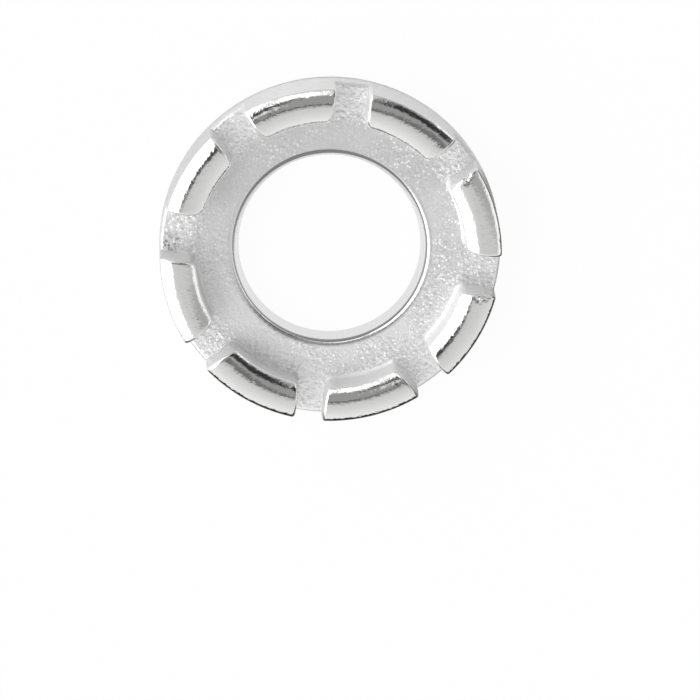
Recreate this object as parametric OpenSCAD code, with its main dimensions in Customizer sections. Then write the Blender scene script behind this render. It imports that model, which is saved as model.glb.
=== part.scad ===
// Round spoke wrench, cast in one: a flat ring with eight jaws standing round its rim.
// The gaps between neighbouring jaws are parallel-sided slots, each for one nipple size.
// The tool lies on its back with the jaws up, and the hole's axis is the Z axis.

/* [Ring] */
// Diameter over the rim
rim_d = 44; // [42:0.5:54]
// Thickness of the flat web, which is also the floor of the slots
web_t = 3; // [2.6:0.1:4]
// Rounding of the rim's back edge, and of its front edge in the slots
rim_round = 0.5; // [0.2:0.1:0.9]

/* [Centre hole] */
// Diameter of the straight land at the back of the hole
hole_d = 23.5; // [18:0.5:26]
// Height of the land above the back face
land_h = 1.4; // [1:0.1:1.6]
// How much the draft above the land widens the hole's radius
draft_w = 0.5; // [0.2:0.1:0.8]
// Rounding of the hole's front edge
hole_round = 0.75; // [0.4:0.05:0.9]
// Rounding of the hole's back edge
hole_back_round = 0.3; // [0.1:0.05:0.5]

/* [Jaws] */
// Height of the jaws' crest above the web
jaw_h = 5.4; // [4:0.1:7]
// Width of the jaws, along the radius
jaw_w = 4.6; // [3.6:0.1:5.2]
// Radius of the rounded crest
crest_r = 3.2; // [2.8:0.1:6]
// Rounding of the jaws' inner corners, seen from the front
corner_r = 1; // [0.4:0.1:1.4]
// Fillet where the jaws' inner wall meets the web
foot_r = 0.6; // [0.2:0.1:1]

/* [Slot widths] */
// Slot on the +X side
slot_1_w = 5.1; // [3:0.1:6.5]
// Slot at 45 degrees, counted from +X towards +Y
slot_2_w = 4.2; // [3:0.1:6.5]
// Slot on the +Y side
slot_3_w = 4.2; // [3:0.1:6.5]
// Slot at 135 degrees
slot_4_w = 4.9; // [3:0.1:6.5]
// Slot on the -X side, the widest
slot_5_w = 6; // [3:0.1:6.5]
// Slot at 225 degrees
slot_6_w = 4; // [3:0.1:6.5]
// Slot on the -Y side, the narrowest
slot_7_w = 3.5; // [3:0.1:6.5]
// Slot at 315 degrees
slot_8_w = 4.4; // [3:0.1:6.5]

/* [Hidden] */
slot_w = [slot_1_w, slot_2_w, slot_3_w, slot_4_w, slot_5_w, slot_6_w, slot_7_w, slot_8_w];
jaw_count = len(slot_w);
pitch = 360 / jaw_count;

rim_r = rim_d / 2;
land_r = hole_d / 2;
throat_r = land_r + draft_w;
jaw_in_r = rim_r - jaw_w;
crest_mid_r = rim_r - jaw_w / 2;
// How far a cutter reaches past the faces that it cuts
past = 1;
plating = "gainsboro";
$fn = 96;

// What a rounding of radius r takes off a square corner at the origin, whose solid lies towards +X and +Y
module corner_waste(r) {
    difference() {
        translate([-past, -past]) square(r + past);
        translate([r, r]) circle(r);
    }
}

// Half section of the web: land, draft and rounded edge of the hole, and the rim's rounded back
module web_section() {
    difference() {
        translate([land_r, 0]) square([rim_r - land_r, web_t]);
        polygon([
            [land_r, land_h],
            [throat_r, web_t - hole_round],
            [throat_r, web_t + past],
            [land_r - past, web_t + past],
            [land_r - past, land_h]
        ]);
        translate([throat_r, web_t]) mirror([0, 1]) corner_waste(hole_round);
        translate([land_r, 0]) corner_waste(hole_back_round);
        translate([rim_r, 0]) mirror([1, 0]) corner_waste(rim_round);
    }
}

// Half section of a jaw standing on z = 0: upright walls, rounded crest, fillet at the inner foot
module jaw_section() {
    difference() {
        translate([jaw_in_r, 0]) square([jaw_w, jaw_h]);
        translate([crest_mid_r, jaw_h - crest_r]) difference() {
            translate([-jaw_w, 0]) square([2 * jaw_w, crest_r + past]);
            circle(crest_r);
        }
    }
    translate([jaw_in_r - foot_r, 0]) difference() {
        square(foot_r);
        translate([0, foot_r]) circle(foot_r);
    }
}

// The space of a slot of width w that lies along +X, from z = 0 up
module slot_space(w) {
    translate([0, -w / 2, -past]) cube([rim_r + past, w, jaw_h + 2 * past]);
}

// What rounds the inner corner of the jaw on the +Y side of a slot of width w along +X
module jaw_corner_waste(w) {
    side = w / 2 + corner_r;
    along = sqrt(pow(jaw_in_r + corner_r, 2) - pow(side, 2));
    centre = [along, side];
    inside = centre * (jaw_in_r - foot_r - past) / norm(centre);
    translate([0, 0, -past]) linear_extrude(jaw_h + 2 * past) difference() {
        polygon([centre, [along, 0], [inside.x, 0], inside]);
        translate(centre) circle(corner_r);
    }
}

// The ring, with the front edge of its rim rounded over wherever a slot leaves it bare
module web_ring() {
    color(plating) difference() {
        rotate_extrude() web_section();
        for (i = [0:jaw_count - 1]) rotate(i * pitch) intersection() {
            translate([0, 0, web_t]) slot_space(slot_w[i]);
            rotate_extrude() translate([rim_r, web_t]) rotate(180) corner_waste(rim_round);
        }
    }
}

// Jaw number n, between slot n and the next one round
module jaw(n) {
    first_w = slot_w[n - 1];
    last_w = slot_w[n % jaw_count];
    color(plating) translate([0, 0, web_t]) rotate((n - 1) * pitch) difference() {
        rotate_extrude(angle = pitch) jaw_section();
        slot_space(first_w);
        jaw_corner_waste(first_w);
        rotate(pitch) {
            slot_space(last_w);
            mirror([0, 1, 0]) jaw_corner_waste(last_w);
        }
    }
}

web_ring();
for (n = [1:jaw_count]) jaw(n);
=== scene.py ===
"""Finished look of a round spoke wrench: a plated casting with crowned jaws round a grainy web.

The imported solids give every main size. The web is lathed, the eight jaws are swept by one node tree,
and the stage is a white floor under a studio sky with panels.
"""

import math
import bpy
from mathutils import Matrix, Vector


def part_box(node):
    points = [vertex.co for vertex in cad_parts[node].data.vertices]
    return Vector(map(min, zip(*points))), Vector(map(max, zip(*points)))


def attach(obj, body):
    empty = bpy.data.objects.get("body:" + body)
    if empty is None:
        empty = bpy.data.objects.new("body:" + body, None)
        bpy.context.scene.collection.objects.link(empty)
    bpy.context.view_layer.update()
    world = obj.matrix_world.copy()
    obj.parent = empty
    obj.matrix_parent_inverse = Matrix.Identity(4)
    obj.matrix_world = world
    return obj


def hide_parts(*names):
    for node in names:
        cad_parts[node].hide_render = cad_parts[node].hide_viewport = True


bl_info = {
    "name": "Round Spoke Wrench",
    "version": (1, 0, 0),
    "blender": (4, 5, 0),
    "location": "View3D > Sidebar > Wrench",
    "description": "Builds the finished casting of a round spoke wrench over its packed solids",
    "category": "Object",
}

import bmesh
import bpy
from bpy.props import FloatProperty, FloatVectorProperty, IntProperty, PointerProperty
from mathutils import Matrix, Vector, noise

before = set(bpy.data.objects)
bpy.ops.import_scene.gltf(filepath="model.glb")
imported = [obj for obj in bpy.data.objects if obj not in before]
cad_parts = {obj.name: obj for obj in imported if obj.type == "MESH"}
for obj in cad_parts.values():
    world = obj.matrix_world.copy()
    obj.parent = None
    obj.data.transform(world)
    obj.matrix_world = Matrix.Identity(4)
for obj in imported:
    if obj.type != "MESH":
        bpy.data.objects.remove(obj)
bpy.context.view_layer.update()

MM = 0.001
JAW_COUNT = 8
PITCH = 2 * math.pi / JAW_COUNT


def corners(node):
    """A solid's points, in metres."""
    return [v.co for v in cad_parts[node].data.vertices]


def slot_width(number):
    """Width of a slot: twice the distance from its middle plane to the jaw that starts there."""
    bearing = (number - 1) * PITCH
    across = Vector((-math.sin(bearing), math.cos(bearing), 0))
    return 2 * min(across.dot(co) for co in corners(f"jaw_{number}"))


WEB_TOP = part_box("web_ring")[1].z
RIM_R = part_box("web_ring")[1].x
JAW_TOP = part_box("jaw_1")[1].z
JAW_IN_R = min(co.xy.length for co in corners("jaw_1") if co.z > (WEB_TOP + JAW_TOP) / 2)
HOLE_R = min(co.xy.length for co in corners("web_ring"))
SLOT_W = [slot_width(number) for number in range(1, JAW_COUNT + 1)]

# Steps of a jaw's sweep, in each rounded corner and between the corners
CORNER_STEPS, MIDDLE_STEPS = 12, 36

# A jaw's faces shade as one where they fold by less than this
CRISP_FOLD = math.radians(35)

# Jaws whose crest has a dent at the slot that they end at, and how far the dent lies outside the crest's middle
DENTED_JAWS = (1, 8)
DENT_ASIDE = 0.5 * MM

# Shares of the sand's full grain: anywhere on the web, added in its coarse patches, and in the slots
PLAIN_GRAIN, PATCH_GRAIN, SLOT_GRAIN = 0.15, 0.5, 0.8

# Moves the pattern of coarse and fine patches along its noise
PATCH_SHIFT = Vector((257.6, 396.7, 0.5))

# Painted light: the web's colour is lighter towards this side, and gets lighter between these places along it
PAINTED_LIGHT_SIDE = (0.2, -0.98, 0)
DIM_END, LIT_END = -8 * MM, 15 * MM

# Painted shade: the outer walls are darker at this side, along the outline
OUTLINE_SHADE_SIDE = (-1, 0, 0)

# Places darkened with small spots of painted shade, each with its reach and share of shade: the widest slot's end and
# a jaw's foot
PIT_SHADE_SPOTS = (
    ((-20.5 * MM, -2.0 * MM, WEB_TOP), 1.9 * MM, 0.8),
    ((-7.4 * MM, -15.9 * MM, WEB_TOP), 3.2 * MM, 0.28),
    ((-3.6 * MM, -17.2 * MM, WEB_TOP), 3.2 * MM, 0.28),
)

# Painted shade on the hole's front edge: the middle of its oval bound, the turn of its long axis and its short width
# over the long
EDGE_SHADE_CENTRE = (-0.065 * MM, 0.2 * MM, 0)
EDGE_SHADE_TURN = math.radians(18)
EDGE_SHADE_SHARE = 0.981

# Lengths of the skin's patterns. The plating's real peel is finer, and is drawn as coarse as it needs to show
PIT_LENGTH = 0.5 * MM
WALL_GRAIN_LENGTH = 0.6 * MM
CREST_WAVE_LENGTH = 0.9 * MM
CREST_PEEL_LENGTH = 0.3 * MM
WEB_PEEL_LENGTH = 0.5 * MM
SPECK_LENGTH = 0.42 * MM
UNEVEN_LENGTH = 0.3 * MM
BLOTCH_LENGTH = 2.5 * MM

# How far the unevenness moves a speck's edge
SPECK_STRAY = 0.1 * MM

# Depths of the patterns that bump draws
WALL_GRAIN_DEPTH = 0.08 * MM
CREST_WAVE_DEPTH = 0.028 * MM
CREST_PEEL_DEPTH = 0.016 * MM
WEB_PEEL_DEPTH = 0.025 * MM
SPECK_DEPTH = 0.03 * MM

# Roughness of the crests and of the satin web, each from blotch to blotch, of the web's polished and chalky places,
# and what chalk adds to it on the jaws
MIRROR_ROUGH = (0.07, 0.13)
SATIN_ROUGH = (0.45, 0.55)
POLISHED_ROUGH = 0.16
CHALKY_ROUGH = 0.57
CHALK_ADDS = 0.48

# Shares of the metal's own reflection that a chalky wall, a white speck and a slot lose
CHALK_LOSS, SPECK_LOSS, SLOT_LOSS = 0.5, 0.85, 0.05

# The picture's side, and how far the web's centre is left of and above its middle, in pixels; pixels to a metre
PICTURE_SIDE = 700
WEB_LEFT, WEB_ABOVE = 20, 102.3
PICTURE_SCALE = 7.753 / MM

# The camera's distance from the web in metres, and its sensor's width in millimetres
EYE_DISTANCE = 0.9
SENSOR_WIDTH = 36

# The view leans off the hole's axis, a little sideways too, and the tool is turned under it
VIEW_LEAN, VIEW_ASIDE, TOOL_TURN = math.radians(13.6), math.radians(1.6), math.radians(7.7)

# Share of the floor's white that is its own, which leaves the rest for the shadow
FLOOR_SHARE = 0.95

# Cards round the tool that only the metal sees, where they draw its outline: name, colour, bearings and section
CARD_STEP = 2.5
CARDS = (
    ("black_card", "#1A1A1A", 228, 393, ((RIM_R + 0.5 * MM, 0), (100 * MM, 0), (100 * MM, 14 * MM))),
    # A grey ring under the rim, seen only in the metal: a painted contact shadow
    ("contact_seam", "#8C8C8C", 0, 360, ((RIM_R - 0.2 * MM, 0), (RIM_R + 0.35 * MM, 0))),
)

# Brightness of the studio sky, and how it changes towards the eye, upwards and to the right
SKY_TONE = 0.91
SKY_SLOPES = (-0.25, -0.10, -0.08)

# Panels of the sky: centre and half size as sines off the camera's line, turn in degrees, softness and brightness
SKY_PANELS = (
    ((0.74, -0.02), (0.24, 0.22), 0, 0.6, 0.46),      # grey wall on the right
    ((0.09, 0.14), (0.43, 0.36), 0, 0.10, 0.37),      # dark room behind the camera
    ((0.08, -0.20), (0.26, 0.05), 0, 0.6, 0.12),      # dark edge at its foot
    ((0.56, 0.42), (0.27, 0.17), -35, 0.35, 0.04),    # black flag, up and right
    ((0.28, -0.13), (0.28, 0.07), 37, 0.5, 0.18),     # its stand
    ((-0.30, 0.07), (0.12, 0.40), 0, 0.25, 0.06),     # gap beside the left panel
    ((-0.24, 0.16), (0.06, 0.10), 0, 0.4, 0.95),      # small white card
    ((-0.91, 0.02), (0.50, 0.76), 0, 0.06, 2.4),      # large white panel on the left
    ((-0.15, 0.64), (0.18, 0.14), 0, 0.15, 1.45),     # white panel above
    ((0.80, 0.56), (0.06, 0.07), 0, 0.3, 1.45),       # small white panel, up and right
    ((0.98, -0.05), (0.05, 0.30), 0, 0.4, 1.15),      # white edge on the far right
)


def linear(hex_colour):
    """Turns an sRGB hex colour to linear RGBA."""
    values = [int(hex_colour[i:i + 2], 16) / 255 for i in (1, 3, 5)]
    return tuple(v / 12.92 if v <= 0.04045 else ((v + 0.055) / 1.055) ** 2.4 for v in values) + (1.0,)


def add_node(tree, kind, inputs=(), **settings):
    """Adds a node with its settings; each input is linked from a node or socket, or set to a value."""
    node = tree.nodes.new(kind)
    for name, value in settings.items():
        setattr(node, name, value)
    for key, value in (inputs.items() if isinstance(inputs, dict) else enumerate(inputs)):
        if isinstance(value, bpy.types.Node):
            value = value.outputs[0]
        if isinstance(value, bpy.types.NodeSocket):
            tree.links.new(value, node.inputs[key])
        else:
            node.inputs[key].default_value = value
    return node


class WrenchSizes(bpy.types.PropertyGroup):
    """Sizes of the casting that a user would change."""

    rim_round: FloatProperty(
        name="Rim round", description="Rounding of the web's rim, front and back",
        default=0.5 * MM, unit="LENGTH", precision=5)
    hole_round: FloatProperty(
        name="Hole round", description="Rounding of the hole's front edge",
        default=0.62 * MM, unit="LENGTH", precision=5)
    hole_back_round: FloatProperty(
        name="Hole back round", description="Rounding of the hole's back edge",
        default=0.3 * MM, unit="LENGTH", precision=5)
    land_height: FloatProperty(
        name="Land height", description="Height of the straight land at the back of the hole",
        default=0.5 * MM, unit="LENGTH", precision=5)
    draft: FloatProperty(
        name="Draft", description="How much the hole widens from its land to its front edge",
        default=0.65 * MM, unit="LENGTH", precision=5)
    crest_radius: FloatProperty(
        name="Crest radius", description="Radius of the jaws' rounded crest",
        default=3.2 * MM, unit="LENGTH", precision=5)
    inner_shoulder: FloatProperty(
        name="Inner shoulder", description="Rounding between the crest and the jaws' inner wall",
        default=0.45 * MM, unit="LENGTH", precision=5)
    outer_shoulder: FloatProperty(
        name="Outer shoulder", description="Rounding between the crest and the jaws' outer wall",
        default=0.55 * MM, unit="LENGTH", precision=5)
    corner_radius: FloatProperty(
        name="Corner radius", description="Rounding of the jaws' inner corners, seen from the front",
        default=0.85 * MM, unit="LENGTH", precision=5)
    edge_round: FloatProperty(
        name="Edge round", description="Rounding of the jaws' edges at the slots",
        default=0.45 * MM, unit="LENGTH", precision=5)
    foot_fillet: FloatProperty(
        name="Foot fillet", description="Fillet where the jaws' inner wall meets the web",
        default=0.85 * MM, unit="LENGTH", precision=5)
    waviness: FloatProperty(
        name="Waviness", description="Depth of the slow waves in the castings",
        default=0.03 * MM, unit="LENGTH", precision=6)
    dent_depth: FloatProperty(
        name="Dent depth", description="Depth of the rough dents at two of the jaws' ends",
        default=0.45 * MM, unit="LENGTH", precision=5)
    dent_reach: FloatProperty(
        name="Dent reach", description="How far a dent reaches from its middle",
        default=1.2 * MM, unit="LENGTH", precision=5)
    wave_length: FloatProperty(
        name="Wave length", description="Length of the slow waves in the castings",
        default=3.5 * MM, unit="LENGTH", precision=5)
    grain_length: FloatProperty(
        name="Grain length", description="Distance between neighbouring grains of the web's cast skin",
        default=0.6 * MM, unit="LENGTH", precision=5)
    grain_height: FloatProperty(
        name="Grain height", description="Height of the coarsest grains over the skin of the web",
        default=0.055 * MM, unit="LENGTH", precision=6)
    patch_length: FloatProperty(
        name="Patch length", description="Distance over which the web's grain goes from coarse to fine",
        default=5 * MM, unit="LENGTH", precision=5)
    ring_steps: IntProperty(
        name="Ring steps", description="Faces round the web", default=860, min=96)


class WrenchFinish(bpy.types.PropertyGroup):
    """Colours of the casting and of its stage."""

    bright_plate: FloatVectorProperty(
        name="Bright plate", description="Reflected colour of the plating on the jaws",
        default=linear("#E6E6E5"), size=4, min=0, max=1, subtype="COLOR")
    chalky_plate: FloatVectorProperty(
        name="Chalky plate", description="Colour of the dull plating on the jaws' walls and the rim",
        default=linear("#E2E2E2"), size=4, min=0, max=1, subtype="COLOR")
    # Painted shade: colour of the outer walls at one side, darker along the outline
    outline_shade_plate: FloatVectorProperty(
        name="Handled plate", description="Colour of the outer walls at the side that is handled most",
        default=linear("#C4C4C4"), size=4, min=0, max=1, subtype="COLOR")
    grainy_plate: FloatVectorProperty(
        name="Grainy plate", description="Reflected colour of the web's plating where it is thin",
        default=linear("#E3E3E3"), size=4, min=0, max=1, subtype="COLOR")
    # Painted light: the web's colour where it is painted lighter, at one side and in the slots
    lit_plate: FloatVectorProperty(
        name="Thick plate", description="Colour of the web's plating where it is thick, at one side and in the slots",
        default=linear("#FFFFFF"), size=4, min=0, max=1, subtype="COLOR")
    # Painted glints: the colour of the white specks that stand in for highlights on the grains
    painted_glint: FloatVectorProperty(
        name="Speck", description="Colour of the white specks in the web's plating",
        default=linear("#FFFFFF"), size=4, min=0, max=1, subtype="COLOR")
    # Painted shade at the hole's edge and in the dark spots, and dirt between the grains
    shade_and_dirt_plate: FloatVectorProperty(
        name="Worn plate", description="Colour of thin plating and dirt, at the hole's trimmed edge and in pits",
        default=linear("#868685"), size=4, min=0, max=1, subtype="COLOR")
    floor: FloatVectorProperty(
        name="Floor", description="Colour of the floor",
        default=linear("#F7F7F7"), size=4, min=0, max=1, subtype="COLOR")


def arc(centre, radius, start, stop, steps):
    """Points of a circle's arc, with angles in radians from the first axis towards the second."""
    turns = [start + (stop - start) * i / steps for i in range(steps + 1)]
    return [(centre[0] + radius * math.cos(t), centre[1] + radius * math.sin(t)) for t in turns]


def stops(start, end, count):
    """Points between two points, without the ends."""
    return [tuple(a + (b - a) * i / (count + 1) for a, b in zip(start, end)) for i in range(1, count + 1)]


def ease(value, low, high):
    """Goes smoothly from 0 at low to 1 at high."""
    share = min(max((value - low) / (high - low), 0), 1)
    return share * share * (3 - 2 * share)


def cast_grain(x, y, sizes):
    """Share of the sand's full grain at a place on the web, and the grain's height as a share of the highest."""
    place = Vector((x, y, 0))
    radius = place.length
    nearest = noise.voronoi(place / sizes.grain_length)[0][0]
    patch = ease(noise.noise(place / sizes.patch_length + PATCH_SHIFT), -0.45, 0.4)
    in_slot = ease(radius, JAW_IN_R - 1.5 * MM, JAW_IN_R + 0.5 * MM)
    off_hole = ease(radius, HOLE_R + 1.1 * MM, HOLE_R + 1.8 * MM)
    off_rim = 1 - ease(radius, RIM_R - 0.6 * MM, RIM_R - 0.1 * MM)
    # The grain is coarser towards the side where light is painted
    painted_light = ease(place.dot(Vector(PAINTED_LIGHT_SIDE)), -0.2 * RIM_R, 0.6 * RIM_R)
    on_web = (PLAIN_GRAIN + PATCH_GRAIN * patch) * (0.5 + 0.5 * painted_light)
    coarse = max(on_web, SLOT_GRAIN * in_slot) * off_hole * off_rim
    return coarse, coarse * ease(nearest, 0.75, 0.12)


def web_section(sizes):
    """Closed half section of the web as (radius, height), from the hole's back edge round to the back face."""
    throat = HOLE_R + sizes.draft
    front, back, rim = sizes.hole_round, sizes.hole_back_round, sizes.rim_round
    half = math.pi / 2
    hole_back = arc((HOLE_R + back, back), back, 3 * half, 2 * half, 4)
    hole_front = arc((throat + front, WEB_TOP - front), front, 2 * half, half, 10)
    rim_front = arc((RIM_R - rim, WEB_TOP - rim), rim, half, 0, 7)
    rim_back = arc((RIM_R - rim, rim), rim, 0, -half, 5)
    web = stops(hole_front[-1], rim_front[0], 70)
    bend = 0.05 * MM
    land = [(HOLE_R, sizes.land_height - bend), (HOLE_R + 0.4 * bend, sizes.land_height + bend)]
    return hole_back + land + hole_front + web + rim_front + rim_back


def jaw_section(sizes):
    """Closed half section of a jaw as (radius, height): inner foot, wall, crest, and down the outer wall."""
    middle = (JAW_IN_R + RIM_R) / 2
    crest, foot = sizes.crest_radius, sizes.foot_fillet
    bottom = WEB_TOP - sizes.rim_round
    level = JAW_TOP - crest
    half = math.pi / 2
    shoulders = []
    for round_off in (sizes.inner_shoulder, sizes.outer_shoulder):
        run = (RIM_R - JAW_IN_R) / 2 - round_off
        rise = math.sqrt((crest - round_off) ** 2 - run ** 2)
        shoulders.append((round_off, run, level + rise, math.atan2(rise, run)))
    (in_round, in_run, in_level, in_lean), (out_round, out_run, out_level, out_lean) = shoulders

    # The fillet leaves the web, just below its skin, at an angle that shows as a line round the foot
    crease, sunk = math.radians(30), 0.01 * MM
    foot_arc = arc((JAW_IN_R - foot, WEB_TOP + foot * math.cos(crease) - sunk), foot, crease - half, 0, 9)
    inner = arc((middle - in_run, in_level), in_round, 2 * half, math.pi - in_lean, 6)
    top = arc((middle, level), crest, math.pi - in_lean, out_lean, 30)[1:-1]
    outer = arc((middle + out_run, out_level), out_round, out_lean, 0, 7)
    inner_wall = stops(foot_arc[-1], inner[0], 10)
    outer_wall = stops(outer[-1], (RIM_R, bottom), 14)
    return ([(foot_arc[0][0], bottom)] + foot_arc + inner_wall + inner + top + outer + outer_wall
            + [(RIM_R, bottom)])


def dent_place(number):
    """Middle of the dent in a jaw's crest, at the slot that the jaw ends at."""
    radius = (JAW_IN_R + RIM_R) / 2 + DENT_ASIDE
    bearing = number * PITCH - math.asin(SLOT_W[number % JAW_COUNT] / 2 / radius)
    return (radius * math.cos(bearing), radius * math.sin(bearing), JAW_TOP)


def jaw_tree(material):
    """Node tree of a jaw: its section swept between two slots, with rounded inner corners and end edges."""
    tree = bpy.data.node_groups.new("Crowned jaw", "GeometryNodeTree")
    face = tree.interface
    face.new_socket(name="Section", in_out="INPUT", socket_type="NodeSocketObject")
    for name in ("First slot", "Last slot", "Bearing", "Pitch", "Middle radius", "Jaw width", "Web height",
                 "Jaw height", "Corner radius", "Edge round", "Waviness", "Wave length", "Dent depth", "Dent reach"):
        face.new_socket(name=name, in_out="INPUT", socket_type="NodeSocketFloat")
    for name in ("Corner steps", "Middle steps"):
        face.new_socket(name=name, in_out="INPUT", socket_type="NodeSocketInt")
    face.new_socket(name="Dent", in_out="INPUT", socket_type="NodeSocketVector")
    face.new_socket(name="Geometry", in_out="OUTPUT", socket_type="NodeSocketGeometry")
    size = tree.nodes.new("NodeGroupInput").outputs
    math_node = "ShaderNodeMath"

    # The section runs along Y, which counts from 0 at the first slot to 1 at the last one
    both = add_node(tree, math_node, (size["Corner steps"], 2), operation="MULTIPLY")
    steps = add_node(tree, math_node, (both, size["Middle steps"]), operation="ADD")
    count = add_node(tree, math_node, (steps, 1), operation="ADD")
    path = add_node(tree, "GeometryNodeCurvePrimitiveLine", {"Start": (0, 0, 0), "End": (0, 1, 0)})
    path = add_node(tree, "GeometryNodeResampleCurve", {"Curve": path, "Count": count}, mode="COUNT")
    section = add_node(tree, "GeometryNodeObjectInfo", {"Object": size["Section"]})
    swept = add_node(tree, "GeometryNodeCurveToMesh", {
        "Curve": path, "Profile Curve": section.outputs["Geometry"], "Fill Caps": True})
    place = add_node(tree, "ShaderNodeSeparateXYZ", (add_node(tree, "GeometryNodeInputPosition"),))
    radius, along, height = place.outputs

    # How far each point is through the rounding at its end, and its distance from that end's plane
    half_width = add_node(tree, math_node, (size["Jaw width"], 0.5), operation="MULTIPLY")
    inward = add_node(tree, math_node, (size["Middle radius"], radius), operation="SUBTRACT")
    flare = add_node(tree, math_node, (inward, half_width), operation="SUBTRACT")
    flare = add_node(tree, math_node, (flare, 0), operation="MAXIMUM")
    share = add_node(tree, math_node, (size["Corner steps"], steps), operation="DIVIDE")
    left = add_node(tree, math_node, (1, along), operation="SUBTRACT")
    ends = []
    for slot, passed in (("First slot", along), ("Last slot", left)):
        part = add_node(tree, math_node, (passed, share), operation="DIVIDE", use_clamp=True)
        turn = add_node(tree, math_node, (part, math.pi / 2), operation="MULTIPLY")
        cosine = add_node(tree, math_node, (turn,), operation="COSINE")
        rest = add_node(tree, math_node, (1, cosine), operation="SUBTRACT")
        inset = add_node(tree, math_node, (rest, size["Corner radius"]), operation="MULTIPLY")
        sine = add_node(tree, math_node, (turn,), operation="SINE")
        aside = add_node(tree, math_node, (sine, cosine), operation="MULTIPLY")
        aside = add_node(tree, math_node, (aside, flare), operation="MULTIPLY")
        half = add_node(tree, math_node, (size[slot], 0.5, inset), operation="MULTIPLY_ADD")
        half = add_node(tree, math_node, (half, aside), operation="SUBTRACT")
        ends.append((turn, inset, half))
    turn = add_node(tree, math_node, (ends[0][0], ends[1][0]), operation="MINIMUM")
    inset = add_node(tree, math_node, (ends[0][1], ends[1][1]), operation="MINIMUM")

    # What the corner rounding takes off the inner side, and the edge round off the outer side and the top
    sine = add_node(tree, math_node, (turn,), operation="SINE")
    rest = add_node(tree, math_node, (1, sine), operation="SUBTRACT")
    off_corner = add_node(tree, math_node, (rest, size["Corner radius"]), operation="MULTIPLY")
    short = add_node(tree, math_node, (size["Edge round"], inset), operation="SUBTRACT")
    short = add_node(tree, math_node, (short, 0), operation="MAXIMUM")
    short = add_node(tree, math_node, (short, 2), operation="POWER")
    whole = add_node(tree, math_node, (size["Edge round"], 2), operation="POWER")
    reach = add_node(tree, math_node, (whole, short), operation="SUBTRACT")
    reach = add_node(tree, math_node, (add_node(tree, math_node, (reach, 0), operation="MAXIMUM"),), operation="SQRT")
    off_edge = add_node(tree, math_node, (size["Edge round"], reach), operation="SUBTRACT")

    fade = add_node(tree, math_node, (sine, 2), operation="POWER")
    fade = add_node(tree, math_node, (1, fade), operation="SUBTRACT")
    drawn_in = add_node(tree, math_node, (fade, flare, radius), operation="MULTIPLY_ADD")
    inner = add_node(tree, math_node, (inward, half_width), operation="DIVIDE", use_clamp=True)
    outward = add_node(tree, math_node, (radius, size["Middle radius"]), operation="SUBTRACT")
    outer = add_node(tree, math_node, (outward, half_width), operation="DIVIDE", use_clamp=True)
    new_radius = add_node(tree, math_node, (inner, off_corner, drawn_in), operation="MULTIPLY_ADD")
    taken = add_node(tree, math_node, (outer, off_edge), operation="MULTIPLY")
    new_radius = add_node(tree, math_node, (new_radius, taken), operation="SUBTRACT")
    above = add_node(tree, math_node, (height, size["Web height"]), operation="SUBTRACT")
    above = add_node(tree, math_node, (above, size["Jaw height"]), operation="DIVIDE", use_clamp=True)
    taken = add_node(tree, math_node, (above, off_edge), operation="MULTIPLY")
    new_height = add_node(tree, math_node, (height, taken), operation="SUBTRACT")

    # The end faces are parallel to their slot, so each radius has its own pair of bearings
    bearings = []
    for _, _, half in ends:
        ratio = add_node(tree, math_node, (half, new_radius), operation="DIVIDE")
        bearings.append(add_node(tree, math_node, (ratio,), operation="ARCSINE"))
    last = add_node(tree, math_node, (size["Pitch"], bearings[1]), operation="SUBTRACT")
    span = add_node(tree, math_node, (last, bearings[0]), operation="SUBTRACT")
    past = add_node(tree, math_node, (along, share), operation="SUBTRACT")
    room = add_node(tree, math_node, (share, -2, 1), operation="MULTIPLY_ADD")
    through = add_node(tree, math_node, (past, room), operation="DIVIDE", use_clamp=True)
    bearing = add_node(tree, math_node, (span, through, bearings[0]), operation="MULTIPLY_ADD")
    bearing = add_node(tree, math_node, (bearing, size["Bearing"]), operation="ADD")
    cosine = add_node(tree, math_node, (bearing,), operation="COSINE")
    sine = add_node(tree, math_node, (bearing,), operation="SINE")
    x = add_node(tree, math_node, (cosine, new_radius), operation="MULTIPLY")
    y = add_node(tree, math_node, (sine, new_radius), operation="MULTIPLY")
    placed = add_node(tree, "GeometryNodeSetPosition", {
        "Geometry": swept, "Position": add_node(tree, "ShaderNodeCombineXYZ", (x, y, new_height))})

    # Slow waves of the casting, which only ever take metal off and fade out at the web
    fineness = add_node(tree, math_node, (1, size["Wave length"]), operation="DIVIDE")
    waves = add_node(tree, "ShaderNodeTexNoise", {"Scale": fineness, "Detail": 1.0})
    depth = add_node(tree, math_node, (waves, size["Waviness"]), operation="MULTIPLY")
    raised = add_node(tree, "ShaderNodeSeparateXYZ", (add_node(tree, "GeometryNodeInputPosition"),))
    raised = add_node(tree, math_node, (raised.outputs["Z"], size["Web height"]), operation="SUBTRACT")
    raised = add_node(tree, math_node, (raised, size["Jaw height"]), operation="DIVIDE", use_clamp=True)
    depth = add_node(tree, math_node, (depth, raised), operation="MULTIPLY")

    # A rough dent in the crest
    apart = add_node(tree, "ShaderNodeVectorMath", (
        add_node(tree, "GeometryNodeInputPosition"), size["Dent"]), operation="DISTANCE").outputs["Value"]
    dent = add_node(tree, "ShaderNodeMapRange", {
        "Value": apart, "From Min": 0.0, "From Max": size["Dent reach"], "To Min": 1.0, "To Max": 0.0})
    pits = add_node(tree, "ShaderNodeTexNoise", {"Scale": 1 / PIT_LENGTH, "Detail": 1.0})
    pits = add_node(tree, "ShaderNodeMapRange", {"Value": pits, "From Min": 0.35, "From Max": 0.6})
    dent = add_node(tree, math_node, (dent, pits), operation="MULTIPLY")
    depth = add_node(tree, math_node, (dent, size["Dent depth"], depth), operation="MULTIPLY_ADD")
    depth = add_node(tree, math_node, (depth, -1), operation="MULTIPLY")
    push = add_node(tree, "ShaderNodeVectorMath", {
        0: add_node(tree, "GeometryNodeInputNormal"), "Scale": depth}, operation="SCALE")
    waved = add_node(tree, "GeometryNodeSetPosition", {"Geometry": placed, "Offset": push})

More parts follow.
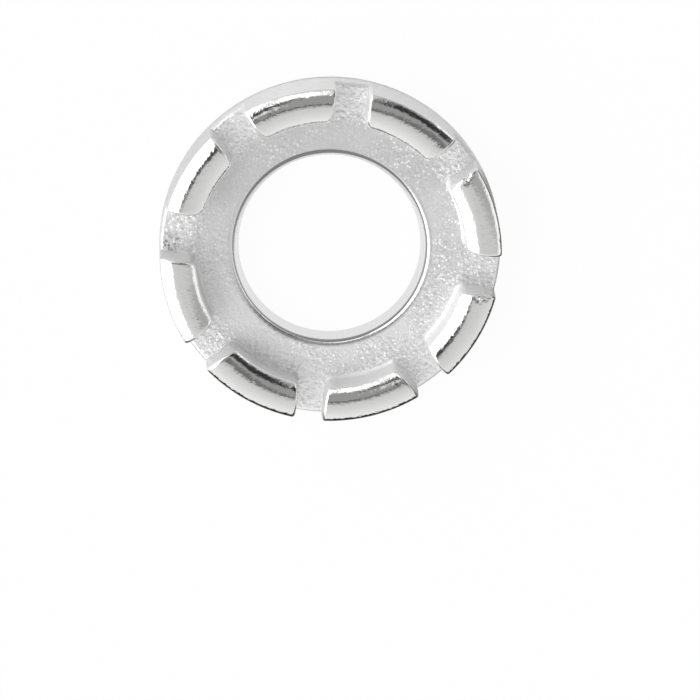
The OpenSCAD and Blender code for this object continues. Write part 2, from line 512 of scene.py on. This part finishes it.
    # Roundings shade smoothly, and the edges between flat faces stay crisp
    smooth = add_node(tree, "GeometryNodeSetShadeSmooth", {"Geometry": waved, "Shade Smooth": True})
    fold = tree.nodes.new("GeometryNodeInputMeshEdgeAngle").outputs["Unsigned Angle"]
    soft = add_node(tree, math_node, (fold, CRISP_FOLD), operation="LESS_THAN")
    smooth = add_node(tree, "GeometryNodeSetShadeSmooth", {"Geometry": smooth, "Shade Smooth": soft}, domain="EDGE")
    real = add_node(tree, "GeometryNodeRealizeInstances", {"Geometry": smooth})
    coated = add_node(tree, "GeometryNodeSetMaterial", {"Geometry": real, "Material": material})
    add_node(tree, "NodeGroupOutput", (coated,))
    return tree


def new_object(name, mesh):
    """Links a new object at the origin."""
    obj = bpy.data.objects.new(name, mesh)
    bpy.context.scene.collection.objects.link(obj)
    return obj


def material_tree(name):
    """An empty material with its Principled shader, tree and Object coordinates."""
    material = bpy.data.materials.new(name)
    material.use_nodes = True
    tree = material.node_tree
    shader = tree.nodes["Principled BSDF"]
    place = tree.nodes.new("ShaderNodeTexCoord").outputs["Object"]
    return material, tree, shader, place


def axis_distance(tree, place):
    """A place laid flat, and its distance from the hole's axis."""
    flat = add_node(tree, "ShaderNodeVectorMath", (place, (1, 1, 0)), operation="MULTIPLY")
    return flat, add_node(tree, "ShaderNodeVectorMath", (flat,), operation="LENGTH").outputs["Value"]


def pit_shade(tree, place):
    """Share of painted shade at a place: small dark spots round the listed places."""
    near = None
    for centre, reach, shade in PIT_SHADE_SPOTS:
        apart = add_node(tree, "ShaderNodeVectorMath", (place, centre), operation="DISTANCE").outputs["Value"]
        spot = add_node(tree, "ShaderNodeMapRange", {
            "Value": apart, "From Min": 0.4 * reach, "From Max": reach, "To Min": shade, "To Max": 0.0})
        near = add_node(tree, "ShaderNodeMath", (near, spot), operation="MAXIMUM") if near else spot
    pits = add_node(tree, "ShaderNodeTexNoise", {"Vector": place, "Scale": 1 / PIT_LENGTH, "Detail": 1.5})
    pits = add_node(tree, "ShaderNodeMapRange", {"Value": pits, "From Min": 0.48, "From Max": 0.62})
    return add_node(tree, "ShaderNodeMath", (near, pits), operation="MULTIPLY")


def chalky_tint(tree, place, finish):
    """Colour of the dull walls: chalky, and greyer on the outer wall at one side as painted shade along the outline.
    """
    radius = axis_distance(tree, place)[1]
    outer = add_node(tree, "ShaderNodeMapRange", {
        "Value": radius, "From Min": RIM_R - 0.6 * MM, "From Max": RIM_R - 0.2 * MM})
    towards = add_node(tree, "ShaderNodeVectorMath", (place, OUTLINE_SHADE_SIDE), operation="DOT_PRODUCT").outputs["Value"]
    towards = add_node(tree, "ShaderNodeMapRange", {
        "Value": towards, "From Min": 0.4 * RIM_R, "From Max": 0.9 * RIM_R})
    # Painted shade along the outline on the outer walls at one side
    outline_shade = add_node(tree, "ShaderNodeMath", (outer, towards), operation="MULTIPLY")
    return add_node(tree, "ShaderNodeMix", {
        0: outline_shade, 6: finish.chalky_plate, 7: finish.outline_shade_plate}, data_type="RGBA").outputs[2]


def bright_zinc_plate(finish):
    """Bright zinc plate on a smooth casting: a near mirror that frays a reflection's edge.

    The walls and the foot are pale and chalky, because the plating is thin there and was never polished.
    """
    material, tree, shader, place = material_tree("Bright zinc plate on smooth casting")
    height = add_node(tree, "ShaderNodeSeparateXYZ", (place,)).outputs["Z"]

    # The chalky places: the foot, and every face that stands steeper than the crest
    foot = add_node(tree, "ShaderNodeMapRange", {
        "Value": height, "From Min": WEB_TOP + 0.4 * MM, "From Max": WEB_TOP + 1.3 * MM,
        "To Min": 0.8, "To Max": 0.0})
    facing = tree.nodes.new("ShaderNodeNewGeometry").outputs["Normal"]
    upright = add_node(tree, "ShaderNodeSeparateXYZ", (facing,)).outputs["Z"]
    upright = add_node(tree, "ShaderNodeMapRange", {
        "Value": upright, "From Min": 0.35, "From Max": 0.65, "To Min": 1.0, "To Max": 0.0})
    dull = add_node(tree, "ShaderNodeMath", (foot, upright), operation="MAXIMUM")

    # Sand grain on the walls, and waves and peel all over
    grain = add_node(tree, "ShaderNodeTexNoise", {"Vector": place, "Scale": 1 / WALL_GRAIN_LENGTH, "Detail": 1.5})
    grain = add_node(tree, "ShaderNodeMath", (grain, upright), operation="MULTIPLY")
    skin = add_node(tree, "ShaderNodeBump", {"Height": grain, "Distance": WALL_GRAIN_DEPTH})
    for length, depth in ((CREST_WAVE_LENGTH, CREST_WAVE_DEPTH), (CREST_PEEL_LENGTH, CREST_PEEL_DEPTH)):
        form = add_node(tree, "ShaderNodeTexNoise", {"Vector": place, "Scale": 1 / length, "Detail": 1.0})
        skin = add_node(tree, "ShaderNodeBump", {"Height": form, "Distance": depth, "Normal": skin})

    blotch = add_node(tree, "ShaderNodeTexNoise", {"Vector": place, "Scale": 1 / BLOTCH_LENGTH, "Detail": 3.0})
    rough = add_node(tree, "ShaderNodeMapRange", {
        "Value": blotch, "From Min": 0.3, "From Max": 0.7, "To Min": MIRROR_ROUGH[0], "To Max": MIRROR_ROUGH[1]})
    rough = add_node(tree, "ShaderNodeMath", (dull, CHALK_ADDS, rough), operation="MULTIPLY_ADD")
    tint = add_node(tree, "ShaderNodeMix", {
        0: dull, 6: finish.bright_plate, 7: chalky_tint(tree, place, finish)}, data_type="RGBA")
    # Painted shade: small dark spots on the dull walls and the foot
    pits = add_node(tree, "ShaderNodeMath", (pit_shade(tree, place), dull), operation="MULTIPLY")
    tint = add_node(tree, "ShaderNodeMix", {0: pits, 6: tint.outputs[2], 7: finish.shade_and_dirt_plate}, data_type="RGBA")
    metal = add_node(tree, "ShaderNodeMath", (dull, -CHALK_LOSS, 1.0), operation="MULTIPLY_ADD")
    tree.links.new(tint.outputs[2], shader.inputs["Base Color"])
    tree.links.new(metal.outputs[0], shader.inputs["Metallic"])
    tree.links.new(rough.outputs[0], shader.inputs["Roughness"])
    tree.links.new(skin.outputs[0], shader.inputs["Normal"])
    return material


def grainy_zinc_plate(sizes, finish):
    """Bright zinc plate on a sand-grained casting: pale satin grey, white specks that are painted glints, and a
    little dirt between grains.

    The colour is painted lighter on one side and in the slots, as painted light. The plating is chalky on the rim and
    smooth in the hole, where a thin dark line of painted shade runs along the front edge, mostly at the top.
    """
    material, tree, shader, place = material_tree("Bright zinc plate on grainy casting")
    flat, radius = axis_distance(tree, place)
    height = add_node(tree, "ShaderNodeSeparateXYZ", (place,)).outputs["Z"]
    coarse = add_node(tree, "ShaderNodeAttribute", attribute_name="coarse").outputs["Fac"]

    # Satin, but polished in the hole, worn brighter at the back, and brighter where the grain is coarse
    throat = HOLE_R + sizes.draft
    in_hole = add_node(tree, "ShaderNodeMapRange", {
        "Value": radius, "From Min": throat + sizes.hole_round, "From Max": throat + sizes.hole_round + 0.3 * MM,
        "To Min": 1.0, "To Max": 0.0})
    back = add_node(tree, "ShaderNodeMapRange", {
        "Value": height, "From Min": 0.8 * MM, "From Max": 1.2 * MM, "To Min": 0.7, "To Max": 0.0})
    rubbed = add_node(tree, "ShaderNodeMath", (coarse, 0.6), operation="MULTIPLY")
    shine = add_node(tree, "ShaderNodeMath", (in_hole, back), operation="MAXIMUM")
    shine = add_node(tree, "ShaderNodeMath", (shine, rubbed), operation="MAXIMUM")
    blotch = add_node(tree, "ShaderNodeTexNoise", {"Vector": place, "Scale": 1 / BLOTCH_LENGTH, "Detail": 3.0})
    satin = add_node(tree, "ShaderNodeMapRange", {
        "Value": blotch, "From Min": 0.3, "From Max": 0.7, "To Min": SATIN_ROUGH[0], "To Max": SATIN_ROUGH[1]})
    rough = add_node(tree, "ShaderNodeMix", {0: shine, 2: satin, 3: POLISHED_ROUGH}, data_type="FLOAT")

    # The rim is as chalky as the jaws' walls above it, down to its back edge
    rim = add_node(tree, "ShaderNodeMapRange", {
        "Value": radius, "From Min": RIM_R - 0.4 * MM, "From Max": RIM_R - 0.25 * MM})
    below_web = add_node(tree, "ShaderNodeMapRange", {
        "Value": height, "From Min": WEB_TOP - 0.12 * MM, "From Max": WEB_TOP - 0.03 * MM,
        "To Min": 1.0, "To Max": 0.0})
    rim = add_node(tree, "ShaderNodeMath", (rim, below_web), operation="MULTIPLY")
    rim = add_node(tree, "ShaderNodeMath", (rim, back), operation="SUBTRACT", use_clamp=True)
    rough = add_node(tree, "ShaderNodeMix", {0: rim, 2: rough.outputs[0], 3: CHALKY_ROUGH}, data_type="FLOAT")

    # Painted light: the colour is lighter on one side, and lightest in the slots
    painted_light = add_node(tree, "ShaderNodeVectorMath", (place, PAINTED_LIGHT_SIDE), operation="DOT_PRODUCT").outputs["Value"]
    painted_light = add_node(tree, "ShaderNodeMapRange", {
        "Value": painted_light, "From Min": DIM_END, "From Max": LIT_END, "To Max": 0.9})
    in_slot = add_node(tree, "ShaderNodeMapRange", {
        "Value": radius, "From Min": JAW_IN_R - 0.8 * MM, "From Max": JAW_IN_R + 1.2 * MM})
    painted_light = add_node(tree, "ShaderNodeMath", (painted_light, in_slot), operation="MAXIMUM")
    painted_light = add_node(tree, "ShaderNodeMath", (painted_light, in_hole), operation="SUBTRACT", use_clamp=True)
    tint = add_node(tree, "ShaderNodeMix", {
        0: painted_light, 6: finish.grainy_plate, 7: finish.lit_plate}, data_type="RGBA")

    # Painted glints: white specks on single grains, most of them in the coarse places
    uneven = add_node(tree, "ShaderNodeTexNoise", {"Vector": place, "Scale": 1 / UNEVEN_LENGTH, "Detail": 1.0})
    astray = add_node(tree, "ShaderNodeVectorMath", {
        0: uneven.outputs["Color"], 1: (SPECK_STRAY,) * 3, 2: place}, operation="MULTIPLY_ADD")
    cells = add_node(tree, "ShaderNodeTexVoronoi", {"Vector": astray, "Scale": 1 / SPECK_LENGTH})
    painted_glint = add_node(tree, "ShaderNodeMapRange", {
        "Value": cells.outputs["Distance"], "From Min": 0.2, "From Max": 0.5, "To Min": 1.0, "To Max": 0.0})
    odds = add_node(tree, "ShaderNodeSeparateColor", (cells.outputs["Color"],)).outputs
    share = add_node(tree, "ShaderNodeMath", (coarse, 0.55, 0.35), operation="MULTIPLY_ADD")
    chance = add_node(tree, "ShaderNodeMath", (odds["Red"], share), operation="LESS_THAN")
    strength = add_node(tree, "ShaderNodeMath", (odds["Green"], 0.3, 0.7), operation="MULTIPLY_ADD")
    growth = add_node(tree, "ShaderNodeMapRange", {
        "Value": coarse, "From Max": 0.42, "To Min": 0.15, "To Max": 1.0})
    for factor in (chance, strength, growth):
        painted_glint = add_node(tree, "ShaderNodeMath", (painted_glint, factor), operation="MULTIPLY")

    # Faint dirt between the grains lies under the specks
    between = add_node(tree, "ShaderNodeMapRange", {
        "Value": uneven, "From Min": 0.5, "From Max": 0.62, "To Max": 0.19})
    between = add_node(tree, "ShaderNodeMath", (between, growth), operation="MULTIPLY")
    tint = add_node(tree, "ShaderNodeMix", {0: between, 6: tint.outputs[2], 7: finish.shade_and_dirt_plate}, data_type="RGBA")
    tint = add_node(tree, "ShaderNodeMix", {0: painted_glint, 6: tint.outputs[2], 7: finish.painted_glint}, data_type="RGBA")
    tint = add_node(tree, "ShaderNodeMix", {
        0: rim, 6: tint.outputs[2], 7: chalky_tint(tree, place, finish)}, data_type="RGBA")

    # Painted shade on the hole's front edge: its bound is slightly oval and off the hole's centre, so it darkens most
    # of the edge at the top
    past_throat = add_node(tree, "ShaderNodeMapRange", {
        "Value": radius, "From Min": throat - 0.06 * MM, "From Max": throat})
    aside = add_node(tree, "ShaderNodeMapping", {
        "Vector": flat, "Location": EDGE_SHADE_CENTRE, "Rotation": (0, 0, EDGE_SHADE_TURN), "Scale": (EDGE_SHADE_SHARE, 1, 1)},
        vector_type="TEXTURE")
    aside = add_node(tree, "ShaderNodeVectorMath", (aside,), operation="LENGTH").outputs["Value"]
    inside_edge_shade = add_node(tree, "ShaderNodeMapRange", {
        "Value": aside, "From Min": throat + 0.36 * MM, "From Max": throat + 0.46 * MM, "To Min": 1.0, "To Max": 0.0})
    edge_shade = add_node(tree, "ShaderNodeMath", (past_throat, inside_edge_shade), operation="MULTIPLY")
    # Painted shade: small dark spots on the web, kept off the rim
    pits = add_node(tree, "ShaderNodeMath", (pit_shade(tree, place), rim), operation="SUBTRACT", use_clamp=True)
    # Painted shade: the dark line on the hole's edge and the dark spots
    painted_shade = add_node(tree, "ShaderNodeMath", (edge_shade, pits), operation="MAXIMUM")
    tint = add_node(tree, "ShaderNodeMix", {0: painted_shade, 6: tint.outputs[2], 7: finish.shade_and_dirt_plate}, data_type="RGBA")

    metal = add_node(tree, "ShaderNodeMath", (in_slot, -SLOT_LOSS, 1.0), operation="MULTIPLY_ADD")
    metal = add_node(tree, "ShaderNodeMath", (painted_glint, -SPECK_LOSS, metal), operation="MULTIPLY_ADD")
    metal = add_node(tree, "ShaderNodeMath", (rim, -CHALK_LOSS, metal), operation="MULTIPLY_ADD", use_clamp=True)

    # Peel all over, sand grain on the rim, and the specks stand proud
    skin = add_node(tree, "ShaderNodeTexNoise", {"Vector": place, "Scale": 1 / WEB_PEEL_LENGTH, "Detail": 2.0})
    skin = add_node(tree, "ShaderNodeBump", {"Height": skin, "Distance": WEB_PEEL_DEPTH})
    grain = add_node(tree, "ShaderNodeTexNoise", {"Vector": place, "Scale": 1 / WALL_GRAIN_LENGTH, "Detail": 1.5})
    grain = add_node(tree, "ShaderNodeMath", (grain, rim), operation="MULTIPLY")
    for form, depth in ((grain, WALL_GRAIN_DEPTH), (painted_glint, SPECK_DEPTH)):
        skin = add_node(tree, "ShaderNodeBump", {"Height": form, "Distance": depth, "Normal": skin})
    tree.links.new(tint.outputs[2], shader.inputs["Base Color"])
    tree.links.new(metal.outputs[0], shader.inputs["Metallic"])
    tree.links.new(rough.outputs[0], shader.inputs["Roughness"])
    tree.links.new(skin.outputs[0], shader.inputs["Normal"])
    return material


class WRENCH_OT_make_web(bpy.types.Operator):
    """Lathe the web with its hole and rounded rim"""

    bl_idname = "wrench.make_web"
    bl_label = "Make web"

    def execute(self, context):
        sizes, finish = context.scene.wrench_sizes, context.scene.wrench_finish
        section = web_section(sizes)
        rings, steps = len(section), sizes.ring_steps
        points, faces, shares = [], [], []
        for i in range(steps):
            turn = 2 * math.pi * i / steps
            for r, z in section:
                x, y = r * math.cos(turn), r * math.sin(turn)
                coarse, height = cast_grain(x, y, sizes) if z > WEB_TOP - sizes.rim_round / 2 else (0, 0)
                shares.append(coarse)
                points.append((x, y, z + height * sizes.grain_height))
        for i in range(steps):
            here, there = i * rings, (i + 1) % steps * rings
            faces += [(here + j, there + j, there + (j + 1) % rings, here + (j + 1) % rings) for j in range(rings)]
        mesh = bpy.data.meshes.new("web_casting")
        mesh.from_pydata(points, [], faces)
        mesh.attributes.new("coarse", "FLOAT", "POINT").data.foreach_set("value", shares)
        solid = bmesh.new()
        solid.from_mesh(mesh)
        bmesh.ops.recalc_face_normals(solid, faces=solid.faces)
        solid.to_mesh(mesh)
        solid.free()
        mesh.shade_smooth()
        mesh.materials.append(grainy_zinc_plate(sizes, finish))
        web = new_object("web_casting", mesh)
        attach(web, "root")
        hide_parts("web_ring")
        return {"FINISHED"}


class WRENCH_OT_make_jaws(bpy.types.Operator):
    """Sweep the eight crowned jaws between the slots"""

    bl_idname = "wrench.make_jaws"
    bl_label = "Make jaws"

    def execute(self, context):
        sizes, finish = context.scene.wrench_sizes, context.scene.wrench_finish
        points = jaw_section(sizes)
        curve = bpy.data.curves.new("jaw_section", "CURVE")
        curve.dimensions = "3D"
        spline = curve.splines.new("POLY")
        spline.points.add(len(points) - 1)
        spline.use_cyclic_u = True
        for point, (r, z) in zip(spline.points, points):
            point.co = (r, -z, 0, 1)
        section = new_object("jaw_section", curve)
        tree = jaw_tree(bright_zinc_plate(finish))
        socket = {item.name: item.identifier for item in tree.interface.items_tree if item.in_out == "INPUT"}
        jaws = []
        for i in range(JAW_COUNT):
            jaw = new_object(f"jaw_casting_{i + 1}", bpy.data.meshes.new(f"jaw_casting_{i + 1}"))
            sweep = jaw.modifiers.new("Sweep", "NODES")
            sweep.node_group = tree
            values = {
                "Section": section, "First slot": SLOT_W[i], "Last slot": SLOT_W[(i + 1) % JAW_COUNT],
                "Bearing": i * PITCH, "Pitch": PITCH, "Middle radius": (JAW_IN_R + RIM_R) / 2,
                "Jaw width": RIM_R - JAW_IN_R, "Web height": WEB_TOP, "Jaw height": JAW_TOP - WEB_TOP,
                "Corner radius": sizes.corner_radius, "Edge round": sizes.edge_round,
                "Waviness": sizes.waviness, "Wave length": sizes.wave_length,
                "Corner steps": CORNER_STEPS, "Middle steps": MIDDLE_STEPS,
                "Dent depth": sizes.dent_depth if i + 1 in DENTED_JAWS else 0.0, "Dent reach": sizes.dent_reach,
                "Dent": dent_place(i + 1),
            }
            for name, value in values.items():
                sweep[socket[name]] = value
            jaws.append(jaw)
        graph = context.evaluated_depsgraph_get()
        for i, jaw in enumerate(jaws):
            mesh = bpy.data.meshes.new_from_object(jaw.evaluated_get(graph))
            jaw.modifiers.clear()
            jaw.data = mesh
            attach(jaw, "root")
            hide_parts(f"jaw_{i + 1}")
        bpy.data.objects.remove(section)
        return {"FINISHED"}


def view_axes():
    """The picture's directions to the right, up, and back to the eye."""
    turned = Matrix.Rotation(TOOL_TURN, 3, "Z")
    right = turned @ Vector((math.cos(VIEW_ASIDE), 0, math.sin(VIEW_ASIDE)))
    up = turned @ Vector((math.sin(VIEW_LEAN) * math.sin(VIEW_ASIDE), math.cos(VIEW_LEAN),
                          -math.sin(VIEW_LEAN) * math.cos(VIEW_ASIDE)))
    return right, up, right.cross(up)


def place_camera(scene, right, up, back):
    """Camera with a long lens, and the tool left of and above the middle of the picture."""
    centre = Vector((0, 0, WEB_TOP))
    eye = centre + back * EYE_DISTANCE
    aim = centre + right * (WEB_LEFT / PICTURE_SCALE) - up * (WEB_ABOVE / PICTURE_SCALE)
    look = (eye - aim).normalized()
    side = up.cross(look).normalized()
    turn = Matrix((side, look.cross(side), look)).transposed()
    lens = bpy.data.cameras.new("camera")
    lens.sensor_width = SENSOR_WIDTH
    lens.lens = SENSOR_WIDTH * (eye - aim).length * PICTURE_SCALE / PICTURE_SIDE
    camera = bpy.data.objects.new("camera", lens)
    camera.matrix_world = Matrix.Translation(eye) @ turn.to_4x4()
    scene.collection.objects.link(camera)
    scene.camera = camera


def lay_floor(finish):
    """White floor, which metal sees as white too and which keeps the shadow."""
    material = bpy.data.materials.new("White studio floor")
    material.use_nodes = True
    tree = material.node_tree
    tree.nodes.clear()
    path = tree.nodes.new("ShaderNodeLightPath").outputs
    seen = add_node(tree, "ShaderNodeMath", (path["Is Camera Ray"], path["Is Glossy Ray"]), operation="MAXIMUM")
    seen = add_node(tree, "ShaderNodeMath", (seen, path["Is Transmission Ray"]), operation="MAXIMUM")
    share = add_node(tree, "ShaderNodeMath", (seen, FLOOR_SHARE), operation="MULTIPLY")
    matt = add_node(tree, "ShaderNodeBsdfDiffuse", {"Color": finish.floor})
    white = add_node(tree, "ShaderNodeEmission", {"Color": (1, 1, 1, 1), "Strength": 1.0})
    mixed = add_node(tree, "ShaderNodeMixShader", (share, matt, white))
    add_node(tree, "ShaderNodeOutputMaterial", {"Surface": mixed})
    mesh = bpy.data.meshes.new("floor")
    reach, low = 4.0, -0.05 * MM
    mesh.from_pydata([(-reach, -reach, low), (reach, -reach, low), (reach, reach, low), (-reach, reach, low)],
                     [], [(0, 1, 2, 3)])
    mesh.materials.append(material)
    new_object("floor", mesh)


def stand_cards():
    """Black card below the tool, and a grey ring under its rim that is a painted contact shadow; neither the camera
    nor the light sees them.
    """
    for name, colour, start, stop, section in CARDS:
        material = bpy.data.materials.new(name)
        material.use_nodes = True
        material.node_tree.nodes["Principled BSDF"].inputs["Base Color"].default_value = linear(colour)
        steps, rows = round((stop - start) / CARD_STEP), len(section)
        turns = [math.radians(start + (stop - start) * i / steps) for i in range(steps + 1)]
        points = [(r * math.cos(t), r * math.sin(t), z) for t in turns for r, z in section]
        faces = [(i * rows + j, i * rows + j + 1, (i + 1) * rows + j + 1, (i + 1) * rows + j)
                 for i in range(steps) for j in range(rows - 1)]
        mesh = bpy.data.meshes.new(name)
        mesh.from_pydata(points, [], faces)
        mesh.materials.append(material)
        card = new_object(name, mesh)
        card.visible_camera = card.visible_diffuse = card.visible_transmission = card.visible_shadow = False


def hang_sky(scene, right, up, back):
    """Studio sky, pale grey and brighter towards its foot and left, with panels; the camera sees it white."""
    world = bpy.data.worlds.new("studio")
    world.use_nodes = True
    scene.world = world
    tree = world.node_tree
    tree.nodes.clear()
    way = tree.nodes.new("ShaderNodeTexCoord").outputs["Generated"]
    across, rise, near = (
        add_node(tree, "ShaderNodeVectorMath", (way, tuple(axis)), operation="DOT_PRODUCT").outputs["Value"]
        for axis in (right, up, back))
    seat = add_node(tree, "ShaderNodeCombineXYZ", (across, rise, 0))
    tone = SKY_TONE
    for along, slope in zip((near, rise, across), SKY_SLOPES):
        tone = add_node(tree, "ShaderNodeMath", (along, slope, tone), operation="MULTIPLY_ADD")
    for centre, half, turn, soft, level in SKY_PANELS:
        local = add_node(tree, "ShaderNodeMapping", {
            "Vector": seat, "Location": (*centre, 0), "Rotation": (0, 0, math.radians(turn)),
            "Scale": (*half, 1)}, vector_type="TEXTURE")
        local = add_node(tree, "ShaderNodeVectorMath", (local,), operation="ABSOLUTE")
        local = add_node(tree, "ShaderNodeSeparateXYZ", (local,))
        reach = add_node(tree, "ShaderNodeMath", (local.outputs["X"], local.outputs["Y"]), operation="MAXIMUM")
        cover = add_node(tree, "ShaderNodeMapRange", {
            "Value": reach, "From Min": 1 - soft, "From Max": 1 + soft, "To Min": 1.0, "To Max": 0.0})
        tone = add_node(tree, "ShaderNodeMix", {0: cover, 2: tone, 3: level}, data_type="FLOAT")
    seen = tree.nodes.new("ShaderNodeLightPath").outputs["Is Camera Ray"]
    tone = add_node(tree, "ShaderNodeMix", {0: seen, 2: tone, 3: 1.0}, data_type="FLOAT")
    light = add_node(tree, "ShaderNodeBackground", {"Color": tone, "Strength": 1.0})
    add_node(tree, "ShaderNodeOutputWorld", {"Surface": light})


class WRENCH_OT_set_stage(bpy.types.Operator):
    """Set the floor, the studio sky and the camera"""

    bl_idname = "wrench.set_stage"
    bl_label = "Set stage"

    def execute(self, context):
        scene = context.scene
        scene.view_settings.view_transform = "Standard"
        axes = view_axes()
        place_camera(scene, *axes)
        lay_floor(scene.wrench_finish)
        stand_cards()
        hang_sky(scene, *axes)
        return {"FINISHED"}


class WRENCH_PT_panel(bpy.types.Panel):
    """Sidebar panel of the wrench"""

    bl_idname = "WRENCH_PT_panel"
    bl_label = "Round spoke wrench"
    bl_space_type = "VIEW_3D"
    bl_region_type = "UI"
    bl_category = "Wrench"

    def draw(self, context):
        layout = self.layout
        for group in (context.scene.wrench_sizes, context.scene.wrench_finish):
            for name in group.__annotations__:
                layout.prop(group, name)
        for operator in OPERATORS:
            layout.operator(operator.bl_idname)


OPERATORS = (WRENCH_OT_make_web, WRENCH_OT_make_jaws, WRENCH_OT_set_stage)
CLASSES = (WrenchSizes, WrenchFinish, *OPERATORS, WRENCH_PT_panel)


def register():
    for cls in CLASSES:
        bpy.utils.register_class(cls)
    bpy.types.Scene.wrench_sizes = PointerProperty(type=WrenchSizes)
    bpy.types.Scene.wrench_finish = PointerProperty(type=WrenchFinish)


def unregister():
    del bpy.types.Scene.wrench_finish
    del bpy.types.Scene.wrench_sizes
    for cls in reversed(CLASSES):
        bpy.utils.unregister_class(cls)


def main():
    register()
    bpy.ops.wrench.make_web()
    bpy.ops.wrench.make_jaws()
    bpy.ops.wrench.set_stage()


if __name__ == "__main__":
    main()
